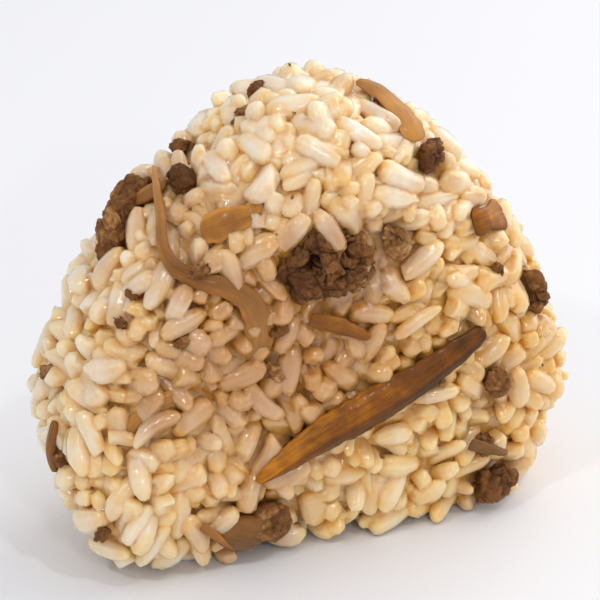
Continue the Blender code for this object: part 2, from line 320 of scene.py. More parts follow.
def packGrains(obstacles, room):
    # each grain is a straight line with a girth; overlaps with grains and toppings push its two ends
    rng = np.random.default_rng(riceHeap["seed"])
    middle, axis = startGrains(rng)
    count = len(middle)
    kinds = list(riceHeap["kinds"].values())
    kind = rng.choice(len(kinds), count, p=[one[0] for one in kinds])
    length = rng.uniform(*np.array([one[1] for one in kinds])[kind].T)
    girth = np.array([one[2] + one[3] for one in kinds])[kind] / 4
    girth *= rng.uniform(*riceHeap["girthSpread"], count)
    span = length - 2 * girth
    rest = girth * np.interp(looseness(middle), (0, 1), riceHeap["squeeze"])
    shallowest = np.repeat(girth, 2) + rng.uniform(*riceHeap["proud"], 2 * count)
    ends = endsOf(middle, axis, span)
    for turn in range(riceHeap["rounds"]):
        if turn % 10 == 0:
            middle = ends.mean(axis=1)
            apart = ((middle[:, None] - middle[None]) ** 2).sum(2)
            first, second = np.nonzero(np.triu(apart < riceHeap["reach"][0] ** 2, 1))
            away = ((middle[:, None] - obstacles[None]) ** 2).sum(2)
            grain, stone = np.nonzero(away < riceHeap["reach"][1] ** 2)
        push = np.zeros_like(ends)
        touches = np.zeros((count, 2))
        s, t = closestOnPair(ends[first, 0], ends[first, 1], ends[second, 0], ends[second, 1])
        p = ends[first, 0] * (1 - s)[:, None] + ends[first, 1] * s[:, None]
        q = ends[second, 0] * (1 - t)[:, None] + ends[second, 1] * t[:, None]
        gap = p - q
        far = np.maximum(np.linalg.norm(gap, axis=1), 1e-7)
        overlap = rest[first] + rest[second] - far
        hit = overlap > 0
        for side, at, other in ((1, s, first), (-1, t, second)):
            move = side * gap[hit] / far[hit][:, None] * overlap[hit][:, None] / 2
            shares = np.stack([1 - at[hit], at[hit]])
            shove(push, touches, other[hit], shares / (shares ** 2).sum(0), move)
        line = ends[grain, 1] - ends[grain, 0]
        at = shareAlong(obstacles[stone], ends[grain, 0], line)
        gap = ends[grain, 0] + line * at[:, None] - obstacles[stone]
        far = np.maximum(np.linalg.norm(gap, axis=1), 1e-7)
        overlap = rest[grain] + room[stone] - far
        hit = overlap > 0
        move = gap[hit] / far[hit][:, None] * overlap[hit][:, None]
        shove(push, touches, grain[hit], (1 - at[hit], at[hit]), move)
        ends += push * riceHeap["push"] / np.maximum(touches, 1)[:, :, None]
        flat = ends.reshape(-1, 3)
        depth, outward = skinDepth(flat)
        flat -= outward * (np.clip(depth, shallowest, riceHeap["depths"][1]) - depth)[:, None]
        flat[:, 2] = np.maximum(flat[:, 2], np.repeat(girth, 2) * riceHeap["footing"])
        ends = flat.reshape(-1, 2, 3)
        middle = ends.mean(axis=1)
        axis = unit(ends[:, 1] - ends[:, 0])
        ends = endsOf(middle, axis, span)
    print(f"packed {count} grains, with {hit.sum()} touches on the toppings")
    return dict(middle=middle, axis=axis, length=length, girth=girth, kind=kind, ends=ends)


lappedByRice = ["burdock_slice", "burdock_left"]  # thin wafers with grains lying over their edges
obstacle = {
    "curlFrom": 0.031,  # the curled root's lower end lies under the rice
    "lumpHeights": (0.0012, 0.0024),  # kept free above the lumps, which no rice covers
    "spacing": 0.0004,
    "room": 0.0003,  # kept free round each point of a topping
    "crumbRoom": 0.30,  # of a crumb's length
    "crumbDepth": 0.3,  # of a crumb's length
}


def obstaclePoints():
    # corners and middles of the toppings' faces stand for them, then come the crumbs
    found = []
    for name, node in frame["nodes"].items():
        if name == "rice":
            continue
        corners = cornersOf(node.data.vertices)
        middles = np.array([face.center for face in node.data.polygons])
        if name == "burdock_curl":
            corners = corners[corners[:, 2] > obstacle["curlFrom"]]
            middles = middles[middles[:, 2] > obstacle["curlFrom"]]
        inner = corners.mean(axis=0)[None] * 0.5 + corners * 0.5
        found += [inner] if name in lappedByRice else [corners, middles, inner]
        if name.startswith("chicken"):
            above = np.array(Vector(skinDepth(corners.mean(axis=0)[None])[1][0]))
            cap = corners * 0.8 + corners.mean(axis=0) * 0.2
            found += [cap + above * lift for lift in obstacle["lumpHeights"]]
    spacing = obstacle["spacing"]
    points = np.unique(np.round(np.concatenate(found) / spacing).astype(int), axis=0) * spacing
    crumbs = np.array([list(skinPoint(toward(*direction), obstacle["crumbDepth"] * size))
                       for direction, size in looseCrumbs])
    room = np.array([size for _, size in looseCrumbs]) * obstacle["crumbRoom"]
    return np.concatenate([points, crumbs]), np.concatenate([np.full(len(points), obstacle["room"]), room])


# Where the rice took up more broth and where it is painted with shade, in hollows and beside the toppings:
# direction, radius and strength
soakedPlaces = [((-31, 20), 0.0095, 0.85), ((-59, 3), 0.0050, 0.45), ((-45, 6), 0.0055, 0.30),
                ((-63, 53), 0.0050, 0.30), ((-4, 28), 0.0075, 0.75), ((-6, 62), 0.0050, 0.20),
                ((44, 22), 0.0060, 0.20), ((66, -6), 0.0080, 0.25), ((-30, -40), 0.0070, 0.35),
                ((160, 10), 0.0090, 0.45), ((-150, -10), 0.0070, 0.35), ((120, 30), 0.0060, 0.30)]

toppingBrothAndShade = {"strength": 0.55, "full": 0.0015, "fade": 0.0012}  # broth stain and painted shade, by the distance to the nearest topping


def soakShare(points, toppings):
    # how much broth stain and painted shade each point takes from the places above and the toppings
    share = np.zeros(len(points))
    for direction, radius, strength in soakedPlaces:
        place = np.array(skinPoint(toward(*direction)))
        share += strength * np.exp(-((points - place) ** 2).sum(axis=1) / (2 * radius ** 2))
    block = 500  # points at a time, to spare memory
    for start in range(0, len(points), block):
        away = points[start:start + block, None] - toppings[None]
        nearest = np.sqrt((away ** 2).sum(axis=2).min(axis=1))
        gap = np.maximum(nearest - toppingBrothAndShade["full"], 0)
        share[start:start + block] += toppingBrothAndShade["strength"] * np.exp(-gap / toppingBrothAndShade["fade"])
    return np.clip(share, 0, 1)


# What makes each grain its own: pairs are the least and the most
grainShape = {
    "roll": 0.7,  # how far it turns from lying flat in the skin
    "section": 0.75,  # 1 is round; pressed grains are a little square
    "taper": 0.12,
    "girth": ((0.84, 1.08), (0.86, 1.08)),  # of the width and the thickness
    "germ": ((0.72, 0.95), 0.24, (0.1, 0.75)),  # the bitten corner: place, length and depth
    "furrow": ((0.0, 0.25), 0.4),  # along each flat side: depth and width
    "cutSlope": 190,
    "waves": ((0.07, 2.6), (0.06, 3.4)),  # height and number
    "dents": 0.025,
    "bow": (0.00035, 0.00022),  # sideways and outwards
}


def grainTemplate(segments, rings):
    body = bmesh.new()
    bmesh.ops.create_uvsphere(body, u_segments=segments, v_segments=rings, radius=1.0)
    return finishMesh(body)


def shapeGrains(kind, packed, rng, loose):
    # makes every grain of one kind as a closed shape of its own
    _, _, width, thickness, bluntness, cutShort = riceHeap["kinds"][kind]
    chosen = packed["kind"] == list(riceHeap["kinds"]).index(kind)
    middle, axis, length = (packed[part][chosen] for part in ("middle", "axis", "length"))
    depth, outward = skinDepth(middle)
    outward = outward + rng.normal(scale=grainShape["roll"], size=outward.shape)
    sideways = unit(np.cross(axis, outward))
    upward = np.cross(axis, sideways)
    for shown in (True, False):
        rows = np.nonzero((depth < riceHeap["hiddenDepth"]) == shown)[0]
        template = grainTemplate(*riceHeap["sides"][0 if shown else 1])
        ball = cornersOf(template.vertices)
        count, corners = len(rows), len(ball)

        def each(low, high):
            return rng.uniform(low, high, count)[:, None]

        along = np.clip(ball[:, 2], -1, 1)[None].repeat(count, 0)
        ring = ball[:, :2] / np.maximum(np.hypot(ball[:, 0], ball[:, 1]), 1e-6)[:, None]
        ring = np.sign(ring) * np.abs(ring) ** grainShape["section"]
        ringX, ringY = ring[None, :, 0], ring[None, :, 1]
        profile = np.maximum(1 - np.abs(along) ** each(*bluntness), 0) ** 0.5
        profile = profile * (1 + each(-grainShape["taper"], grainShape["taper"]) * along)
        x = ringX * profile * width / 2 * each(*grainShape["girth"][0])
        y = ringY * profile * thickness / 2 * each(*grainShape["girth"][1])
        place, germLength, germDepth = grainShape["germ"]
        germ = np.exp(-((along - each(*place)) / germLength) ** 2) * np.maximum(ringX, 0)
        x *= 1 - germ * each(*germDepth)
        furrowDepth, furrowWidth = grainShape["furrow"]
        y *= 1 - each(*furrowDepth) * np.exp(-(ringX / furrowWidth) ** 2)
        cut = each(*cutShort)
        z = np.minimum(along, cut + x * rng.normal(scale=grainShape["cutSlope"], size=count)[:, None])
        z *= length[rows][:, None] / 2
        (lowWave, lowCount), (sideWave, sideCount) = grainShape["waves"]
        wave = 1 + lowWave * np.sin(lowCount * along + each(0, 6.3))
        wave = wave + sideWave * ringX * np.sin(sideCount * along + each(0, 6.3))
        dent = wave + rng.normal(scale=grainShape["dents"], size=(count, corners))
        bowX, bowY = grainShape["bow"]
        x = x * dent + rng.normal(scale=bowX, size=count)[:, None] * (1 - along ** 2)
        y = y * dent + rng.normal(scale=bowY, size=count)[:, None] * (1 - along ** 2)
        points = (middle[rows][:, None] + sideways[rows][:, None] * x[:, :, None]
                  + upward[rows][:, None] * y[:, :, None] + axis[rows][:, None] * z[:, :, None])
        points[:, :, 2] = np.maximum(points[:, :, 2], 0.0001)
        for own in points:
            mesh = template.copy()
            mesh.vertices.foreach_set("co", own.astype(np.float32).ravel())
            mesh.update()
            loose.objects.link(bpy.data.objects.new("grain", mesh))
    print(f"shaped {len(middle)} {kind} grains")


# Cooked short-grain rice: moist, see-through starch, so light runs on from grain to grain, under a wet skin
# with small broken glints;
# the golden glow in the gaps and creases, so that they don't go dark, is painted in
riceLook = {
    "white": "#f0e4d2", "cream": "#ebd1a4", "honey": "#eac07a",  # the palest to the most honey-toned grains, partly painted light
    "creaseShade": "#f4bc50",  # painted golden shade and glow in the creases where two grains meet
    # broth stain round the toppings, and painted shade deep in the gaps and hollows
    "brothAndShadeTint": "#b87a2c",
    "clouds": (420.0, 0.8),  # scale for about 2 mm, and strength
    "sunk": (2.0, 4.8, 0.7),  # depths in mm from where and to where the gaps are painted with shade in the broth colour, and how much
    "wrinkles": (1500.0, 0.0002),  # scale for about 0.5 mm, and height
    "roughness": 0.30, "gloss": 1.0, "wetRoughness": 0.09, "glow": 1.0, "glowDepth": 0.0024,
}


def cookedRice():
    material, shader, add = startMaterial("cookedShortGrainRice", {
        "Roughness": riceLook["roughness"], "IOR": 1.40, "Coat Weight": riceLook["gloss"],
        "Coat Roughness": riceLook["wetRoughness"], "Coat IOR": 1.65, "Subsurface Weight": riceLook["glow"],
        "Subsurface Radius": (1.0, 0.98, 0.90), "Subsurface Scale": riceLook["glowDepth"]})
    place = add("TexCoord").outputs["Object"]
    sunk, touch, tone, soak = readAttributes(add, "sunk", "touch", "tone", "soak")
    # clouds inside the grains, where the starch is clearer
    scale, strength = riceLook["clouds"]
    clouds = add("TexNoise", {"Vector": place, "Scale": scale, "Detail": 5.0, "Roughness": 0.6})
    cloudy = add("Math", {0: clouds, 1: strength, 2: tone}, operation="MULTIPLY_ADD")
    level = add("Math", {0: cloudy, 1: 0.4}, operation="SUBTRACT")
    body = add("ValToRGB", {"Fac": level})
    fillRamp(body, riceLook["white"], riceLook["cream"], riceLook["honey"])
    # painted shade: the creases where grains meet turn golden, the more so on honey-toned grains
    share = add("Math", {0: tone, 1: 0.5, 2: 0.5}, operation="MULTIPLY_ADD")
    creaseShadeShare = add("Math", {0: touch, 1: share}, operation="MULTIPLY")
    joined = add("Mix", {"Factor": creaseShadeShare, "A": body, "B": linearColor(riceLook["creaseShade"])}, data_type="RGBA")
    # painted shade: the deeper the rice lies under the skin, the browner it is painted
    fillFrom, fillTo, filled = riceLook["sunk"]
    deep = add("MapRange", {
        "Value": sunk, "From Min": fillFrom, "From Max": fillTo, "To Min": 0.0, "To Max": filled},
        interpolation_type="SMOOTHSTEP")
    # broth stain and painted shade, from the deep gaps and from the places and toppings
    soaked = add("Math", {0: deep, 1: tone, 2: soak}, operation="MULTIPLY_ADD", use_clamp=True)
    color = add("Mix", {"Factor": soaked, "A": joined, "B": linearColor(riceLook["brothAndShadeTint"])}, data_type="RGBA")
    # the starch skin is finely wrinkled
    skin = add("TexNoise", {"Vector": place, "Scale": riceLook["wrinkles"][0], "Detail": 4.0})
    relief = add("Bump", {"Height": skin, "Strength": 0.5, "Distance": riceLook["wrinkles"][1]})
    setInputs(shader, {"Base Color": color, "Normal": relief, "Coat Normal": relief})
    return material


coreRelief = (300, 0.0008)  # scale for about 3 mm, and height


def bindingCore():
    # the rice mass under the grains that show
    body = bmesh.new()
    bmesh.ops.create_icosphere(body, subdivisions=5, radius=1.0)
    directions = np.array([vert.co.normalized() for vert in body.verts])
    skin = centre + directions * skinRadius(directions)[:, None] * 0.9995
    _, outward = skinDepth(skin)
    depth = np.interp(looseness(skin), (0, 1), riceHeap["coreDepth"])
    for vert, at, out, deep in zip(body.verts, skin, outward, depth):
        vert.co = Vector(at - out * (deep + coreRelief[1] * noise.noise(Vector(at) * coreRelief[0])))
    return finishMesh(body)


def soften(body, factor):
    bmesh.ops.smooth_vert(
        body, verts=body.verts, factor=factor, use_axis_x=True, use_axis_y=True, use_axis_z=True)


def dropHollows(body):
    # hollows sealed between the grains can't be seen, so only the biggest shell is kept
    waiting = set(body.faces)
    shells = []
    while waiting:
        shell = [waiting.pop()]
        for face in shell:
            for edge in face.edges:
                fresh = waiting.intersection(edge.link_faces)
                waiting -= fresh
                shell += fresh
        shells.append(shell)
    shells.sort(key=len)
    bmesh.ops.delete(body, geom=[face for shell in shells[:-1] for face in shell], context="FACES")


def fuseHeap(loose):
    # one closed solid of the core and every grain, a little softened where they meet
    heap = addObject("heap", bindingCore())
    union = heap.modifiers.new("union", "BOOLEAN")
    union.operation = "UNION"
    union.operand_type = "COLLECTION"
    union.collection = loose
    union.solver = "MANIFOLD"
    fused = bpy.data.meshes.new_from_object(heap.evaluated_get(bpy.context.evaluated_depsgraph_get()))
    for spent in [heap, *loose.objects]:
        bpy.data.objects.remove(spent)
    bpy.data.collections.remove(loose)
    body = bmesh.new()
    body.from_mesh(fused)
    dropHollows(body)
    soften(body, 0.25)
    print("joined the grains,", sum(len(edge.link_faces) != 2 for edge in body.edges), "open edges")
    body.to_mesh(fused)
    body.free()
    return fused


# How pale or honey-toned the grains are, partly painted light: 0 is white, 0.5 cream and 1 honey
riceTone = {
    "middle": 0.48,
    "toRight": 6.5,  # per metre
    "toTop": (15.0, 0.034),  # per metre above this height
    "spread": 0.36,  # from grain to grain
    "ends": (0.30, -0.12),  # a grain's ends and its middle
    "creaseShadeReach": 0.0005,
    "soak": 0.8,
    "seed": 9,
}


def shadeHeap(mesh, packed, toppings):
    # finds the grain that each corner belongs to, how near the next one is, how pale it is and how much broth
    # and painted shade it takes
    points = cornersOf(mesh.vertices)
    middle, ends, girth = packed["middle"], packed["ends"], packed["girth"]
    span = (packed["axis"] * packed["length"][:, None])[:, None]
    spots = middle[:, None] + np.array([-0.33, 0, 0.33])[None, :, None] * span
    tree = KDTree(len(middle) * 3)
    for index, spot in enumerate(spots.reshape(-1, 3)):
        tree.insert(spot, index // 3)
    tree.balance()
    near = np.array([[found[1] for found in tree.find_n(point, 10)] for point in points])
    start, line = ends[near, 0], ends[near, 1] - ends[near, 0]
    share = shareAlong(points[:, None], start, line)
    gap = np.linalg.norm(points[:, None] - start - share[:, :, None] * line, axis=2) - girth[near]
    rows, first = np.arange(len(points)), gap.argmin(axis=1)
    own = near[rows, first]
    along = share[rows, first] * 2 - 1
    gap[near == own[:, None]] = 1.0
    # how near the next grain is, which places the painted golden crease shade
    touch = np.exp(-np.maximum(gap.min(axis=1), 0) / riceTone["creaseShadeReach"])
    # painted light: the right side, where back light shines through, and the foot are painted more honey, and
    # the left and the top, which the light falls on most, stay pale
    topward, topFrom = riceTone["toTop"]
    pale = riceTone["middle"] + riceTone["toRight"] * middle[:, 0]
    pale = pale - topward * np.maximum(middle[:, 2] - topFrom, 0)
    rng = np.random.default_rng(riceTone["seed"])
    shade = np.clip(riceTone["spread"] * (rng.random(len(middle)) - 0.5) + pale, 0.0, 1)
    atEnds, atMiddle = riceTone["ends"]
    tone = np.clip(shade[own] + atEnds * along ** 2 + atMiddle, 0, 1)
    places = middle[:, None] + np.linspace(-0.5, 0.5, 3)[None, :, None] * span
    back, half, ahead = soakShare(places.reshape(-1, 3), toppings).reshape(-1, 3)[own].T
    soak = half + np.maximum(along, 0) * (ahead - half) + np.maximum(-along, 0) * (back - half)
    sunk = skinDepth(points)[0] * 1000
    setAttributes(mesh, touch=touch, sunk=sunk, tone=tone, soak=riceTone["soak"] * soak)


riceMaterial = cookedRice()
toppingPoints, toppingRoom = obstaclePoints()
packed = packGrains(toppingPoints, toppingRoom)
looseGrains = bpy.data.collections.new("looseGrains")
bpy.context.scene.collection.children.link(looseGrains)
rng = np.random.default_rng(5)
for kind in riceHeap["kinds"]:
    shapeGrains(kind, packed, rng, looseGrains)
riceMesh = fuseHeap(looseGrains)
shadeHeap(riceMesh, packed, toppingPoints)
addPiece("rice_grains", riceMesh, riceMaterial, ["rice"])
print("joined the rice,", sum(len(face.vertices) - 2 for face in riceMesh.polygons), "triangles")

# The chicken: lumps of mince, each on the form of its solid, broken into crumbs by clefts
mince = {
    # width and height of the big swellings, the crumbs, the torn scraps on them and the torn fibres
    "lump": (0.0055, 0.0006), "crumb": (0.0026, 0.0007), "scrap": (0.0011, 0.0003), "grit": (0.0004, 0.0001),
    "cleft": 0.0011,  # depth of the deepest cleft
    "cleftWidth": (0.12, 0.10),  # between crumbs and between scraps, in shares of their size
    "gaping": 260,  # scale on which the clefts open and close
    "warp": (450, 0.0008),  # scale and strength of the bends in their borders
    "highest": 0.0003,  # above the solid's surface
    "fineFrom": (0.0085, 0.0125),  # lumps larger than these get more faces
}
warpShifts = [Vector((0, 0, 0)), Vector((31.7, 0, 0)), Vector((0, 17.3, 0))]


def crumbField(at, size, seed):
    # roundness of the crumb here, nearness to its border, and a value that stays the same over one crumb
    near, middles = noise.voronoi(at / size + Vector((seed, 0, 0)))
    return 1 - min(near[0] / 0.75, 1.2) ** 2, near[1] - near[0], noise.cell(middles[0] * 7.3)


def relieveLump(body, seed, share):
    # breaks a smooth lump into crumbs; returns how deep in a cleft each corner is, and its crumb's tone
    body.normal_update()
    clefts, tones, moves = [], [], []
    for vert in body.verts:
        bend = vert.co * mince["warp"][0]
        warp = Vector([noise.noise(bend + shift) for shift in warpShifts]) * mince["warp"][1]
        swell = noise.noise(vert.co / mince["lump"][0] + Vector((0, 0, seed)))
        crumbRound, border, tone = crumbField(vert.co + warp, mince["crumb"][0], seed)
        scrapRound, scrapBorder, scrapTone = crumbField(vert.co + warp * 0.7, mince["scrap"][0], seed + 4.0)
        gape = noise.noise(vert.co * mince["gaping"] + Vector((0, seed, 0)))
        opening = min(max(0.25 + 2.4 * gape, 0.0), 1.0)
        cleft = math.exp(-(border / mince["cleftWidth"][0]) ** 2) * opening
        scrapCleft = math.exp(-(scrapBorder / mince["cleftWidth"][1]) ** 2) * opening
        grit = noise.noise(vert.co / mince["grit"][0]) + 0.5 * noise.noise(vert.co * 2.3 / mince["grit"][0])
        lift = mince["lump"][1] * swell + mince["crumb"][1] * (0.5 * crumbRound + 0.5 * tone - 0.6)
        lift += mince["scrap"][1] * (scrapRound + scrapTone - 1.0) - mince["cleft"] * cleft
        moves.append(vert.normal * (min(lift * share, mince["highest"]) + mince["grit"][1] * grit))
        # the share of painted shade and caught broth in the clefts
        clefts.append(min(share * cleft + 0.35 * scrapCleft + 0.3 * max(-crumbRound, 0), 1.0))
        tones.append(0.5 * tone + 0.5 * scrapTone)
    for vert, move in zip(body.verts, moves):
        vert.co += move
    return clefts, tones


def lumpOn(node, seed, roughness):
    # a fine ball laid on the solid's surface by rays from its middle
    tree = BVHTree.FromPolygons([vert.co for vert in node.data.vertices],
                                [list(face.vertices) for face in node.data.polygons])
    corners = cornersOf(node.data.vertices)
    middle = Vector((corners.min(axis=0) + corners.max(axis=0)) / 2)
    size = float(np.ptp(corners, axis=0).max())
    fineness = 5 + sum(size > limit for limit in mince["fineFrom"])
    body = bmesh.new()
    bmesh.ops.create_icosphere(body, subdivisions=fineness, radius=1.0)
    for vert in body.verts:
        direction = vert.co.normalized()
        hit = tree.ray_cast(middle, direction)[0]
        vert.co = hit if hit else middle + direction * size / 4
    for _ in range(2 ** (fineness - 3)):
        soften(body, 0.5)
    clefts, tones = relieveLump(body, seed, roughness * min(1.0, size / 0.008))
    return body, clefts, tones


# Chicken mince simmered in soy: dull, gritty protein with a faint wet sheen, grey-brown where it is bare and
# pinkish brown inside; the clefts are painted near black, for broth caught there and for painted shade
chickenLook = {
    "dark": "#5e3a1c", "brown": "#8a5a2e", "warm": "#c6965e", "cleft": "#331806", "roughness": 0.5,
    "specks": 1500.0,  # scale for about 0.5 mm
    "fibres": (2600.0, 0.0003),  # scale for about 0.3 mm, and height
}


def simmeredChicken():
    material, shader, add = startMaterial("simmeredChickenMince", {
        "Roughness": chickenLook["roughness"], "Specular IOR Level": 0.22, "IOR": 1.42,
        "Subsurface Weight": 0.3, "Subsurface Radius": (1.0, 0.6, 0.4), "Subsurface Scale": 0.0005})
    place = add("TexCoord").outputs["Object"]
    cleft, tone, warmth = readAttributes(add, "cleft", "crumbTone", "warmth")
    specks = add("TexNoise", {"Vector": place, "Scale": chickenLook["specks"], "Detail": 4.0})
    ownTone = add("Math", {0: tone, 1: 0.35, 2: warmth}, operation="MULTIPLY_ADD")
    level = add("Math", {0: specks, 1: 1.0, 2: ownTone}, operation="MULTIPLY_ADD")
    shifted = add("Math", {0: level, 1: 0.56}, operation="SUBTRACT")
    body = add("ValToRGB", {"Fac": shifted})
    fillRamp(body, chickenLook["dark"], chickenLook["brown"], chickenLook["warm"])
    # painted shade with the broth caught there: the clefts go near black
    color = add("Mix", {"Factor": cleft, "A": body, "B": linearColor(chickenLook["cleft"])}, data_type="RGBA")
    fibres = add("TexNoise", {"Vector": place, "Scale": chickenLook["fibres"][0], "Detail": 5.0})
    relief = add("Bump", {"Height": fibres, "Strength": 0.9, "Distance": chickenLook["fibres"][1]})
    setInputs(shader, {"Base Color": color, "Normal": relief})
    return material


# How warm and light each lump is, how much warmer its right side is than its left, and how broken it is
lumpWarmth = {
    "center": (0.15, 0.55, 1.0),
    "center_right": (0.75, 0.0, 0.5),
    "left": (0.45, -0.4, 0.6),
    "upper_left": (0.05, 0.0, 0.6),
    "top_right": (0.25, 0.2, 0.8),
    "right_edge": (0.35, 0.0, 0.6),
    "right_small": (0.45, 0.2, 0.6),
    "right_foot": (0.30, 0.2, 0.5),
    "base": (0.45, 0.2, 0.15),
}
otherLumps = (0.35, 0.15, 0.7)
chickenMaterial = simmeredChicken()
for index, name in enumerate(sorted(name for name in frame["nodes"] if name.startswith("chicken"))):
    place = name.removeprefix("chicken_")
    warm, gain, roughness = lumpWarmth.get(place, otherLumps)
    body, clefts, tones = lumpOn(frame["nodes"][name], 3.1 * index, roughness)
    across = cornersOf(body.verts)[:, 0]
    share = (across - across.min()) / max(np.ptp(across), 1e-6)
    warmth = warm + gain * (share - 0.3)
    lump = finishMesh(body, cleft=clefts, crumbTone=tones, warmth=warmth)
    addPiece("mince_" + place, lump, chickenMaterial, [name])


crumbShape = {
    "depths": (0.3, -0.2),  # of the bedded and of the raised crumbs, in shares of their length
    "sides": (0.66, 0.72),  # width and height in shares of the length
    "lumps": (2.6, 0.30),  # number and height
    "roughness": 0.35,
}


def crumbMesh():
    # the loose crumbs, all in one mesh
    body = bmesh.new()
    clefts, tones, warmth = [], [], []
    mesh = bpy.data.meshes.new("crumb")
    for index, (direction, size) in enumerate(looseCrumbs + raisedCrumbs):
        one = bmesh.new()
        bmesh.ops.create_icosphere(one, subdivisions=4 if size > 0.002 else 3, radius=0.5)
        middle = skinPoint(toward(*direction), crumbShape["depths"][index >= len(looseCrumbs)] * size)
        number, height = crumbShape["lumps"]
        for vert in one.verts:
            at = vert.co * number + Vector((11.3 * index, 0, 0))
            vert.co *= 1 + height * (noise.noise(at) + 0.6 * noise.noise(at * 2.3))
        _, outward = skinDepth(np.array([middle]))
        turn = Vector(outward[0]).to_track_quat("Z", "Y").to_matrix() @ Matrix.Rotation(0.7 * index, 3, "Z")
        bmesh.ops.scale(one, verts=one.verts, vec=(size, *(part * size for part in crumbShape["sides"])))
        bmesh.ops.rotate(one, verts=one.verts, cent=(0, 0, 0), matrix=turn)
        bmesh.ops.translate(one, verts=one.verts, vec=middle)
        moreClefts, moreTones = relieveLump(one, 5.7 * index, crumbShape["roughness"])
        clefts += moreClefts
        tones += moreTones
        warmth += [0.25 + 0.5 * ((index * 0.37) % 1.0)] * len(one.verts)
        one.to_mesh(mesh)
        one.free()
        body.from_mesh(mesh)
    return finishMesh(body, cleft=clefts, crumbTone=tones, warmth=warmth)


addPiece("mince_crumbs", crumbMesh(), chickenMaterial)
print("made the chicken")

# The burdock: slivers and shavings of root laid along the skin
usualSliver = {
    # "path" goes by directions, and widths, depth and milky may have several values along it;
    # "shades" are those of the start, middle and end, from amber 0 to dark brown 1
    "thickness": 0.0014,
    "depth": 0.0002,  # of its middle under the skin
    "ridge": 0.2,  # below 0 it is a hollow
    "lower": 0.1,  # how much browner its lower side is
    "milky": 0.2,
    "paleEdge": 0.0,
    "lean": (0, 0, 0),  # turns the face of a sliver that curls away from the skin
}
slivers = {
    "long": dict(path=[(-33, -28), (-10, -21), (14, -11), (36, 0), (53, 9)],
        widths=(0.001, 0.0038, 0.0052, 0.006, 0.006, 0.0052, 0.0042, 0.0026), shades=(0.16, 0.5, 0.85),
        thickness=0.003, depth=0.0001, ridge=0.6, lower=0.34, milky=0.0),
    "curl": dict(path=[(-104, 55.5), (-88, 53), (-74, 48), (-67, 42.5), (-61, 39), (-53, 37.5),
        (-44, 37.5), (-36, 35), (-32, 27), (-33, 15.5)],
        widths=(0.0005, 0.0013, 0.0015, 0.0017, 0.0022, 0.0026, 0.0028, 0.0034, 0.0042, 0.004),
        shades=(0.25, 0.8, 0.5), depth=(0.0002, 0.0002, 0.0002, 0.0004, 0.0008, 0.0014), lower=-0.15,
        milky=(0.8, 0.5, 0.2, 0.4, 0.6), paleEdge=0.1),
    "top_right": dict(path=[(89, 75), (79, 70.5), (65, 67), (57, 63.5), (53, 60)],
        widths=(0.001, 0.003, 0.004, 0.0044, 0.004, 0.0028), shades=(0.65, 0.35, 0.35), thickness=0.0016,
        ridge=0.4, lower=-0.15, milky=0.7, lean=(0, -0.9, 0.1)),
    "under_center": dict(path=[(-12, 31), (2, 27), (15, 20)],
        widths=(0.002, 0.0024, 0.0024, 0.0018, 0.0008), shades=(0.45, 0.55, 0.5), depth=0.0006, lower=0.15,
        milky=0.1, paleEdge=0.1),
    "slice": dict(path=[(-56, 48.5), (-46, 53), (-33, 57)],
        widths=(0.003, 0.0044, 0.0042, 0.0028, 0.001), shades=(0.32, 0.34, 0.2), depth=0.0012, ridge=0.1,
        milky=0.3, paleEdge=0.6),
    "right": dict(path=[(57, 37), (63, 35), (72, 31.5)], widths=(0.0054, 0.0032, 0.0056),
        shades=(0.5, 0.2, 0.5), thickness=0.002, depth=0.0004, ridge=-0.4, milky=0.0, paleEdge=-0.2),
    "base": dict(path=[(-47, -31), (-44, -38), (-41, -46)], widths=(0.0014, 0.0012, 0.0006),
        shades=(0.4, 0.4, 0.4), thickness=0.001, depth=0.0, milky=0.4),
    "left": dict(path=[(-63, -4), (-58, 1), (-53, 4)],
        widths=(0.0014, 0.0026, 0.003, 0.0028, 0.002), shades=(0.35, 0.4, 0.35), depth=0.0022, ridge=0.1,
        milky=0.6, paleEdge=0.3),
    "back_long": dict(path=[(138, -8), (155, -12), (172, -17), (-172, -20)],
        widths=(0.0008, 0.0034, 0.0042, 0.0042, 0.0032, 0.0012), shades=(0.2, 0.45, 0.8), thickness=0.0024,
        ridge=0.4, lower=0.3, milky=0.1),
    "back_curl": dict(path=[(-128, 40), (-140, 32), (-156, 29), (-170, 34), (-178, 44)],
        widths=(0.001, 0.0018, 0.0024, 0.0022, 0.0014), shades=(0.5, 0.55, 0.65), lower=0.2, milky=0.5),
    "back_right": dict(path=[(100, 2), (112, 8), (122, 16)],
        widths=(0.0012, 0.0026, 0.003, 0.0024, 0.001), shades=(0.3, 0.45, 0.6), thickness=0.0016, ridge=0.3,
        lower=0.2, paleEdge=0.1),
    "back_foot": dict(path=[(-118, -30), (-130, -36), (-146, -38)],
        widths=(0.001, 0.0022, 0.0024, 0.0018, 0.001), shades=(0.3, 0.4, 0.5), depth=0.0004, lower=0.2,
        milky=0.3, paleEdge=0.1),
}
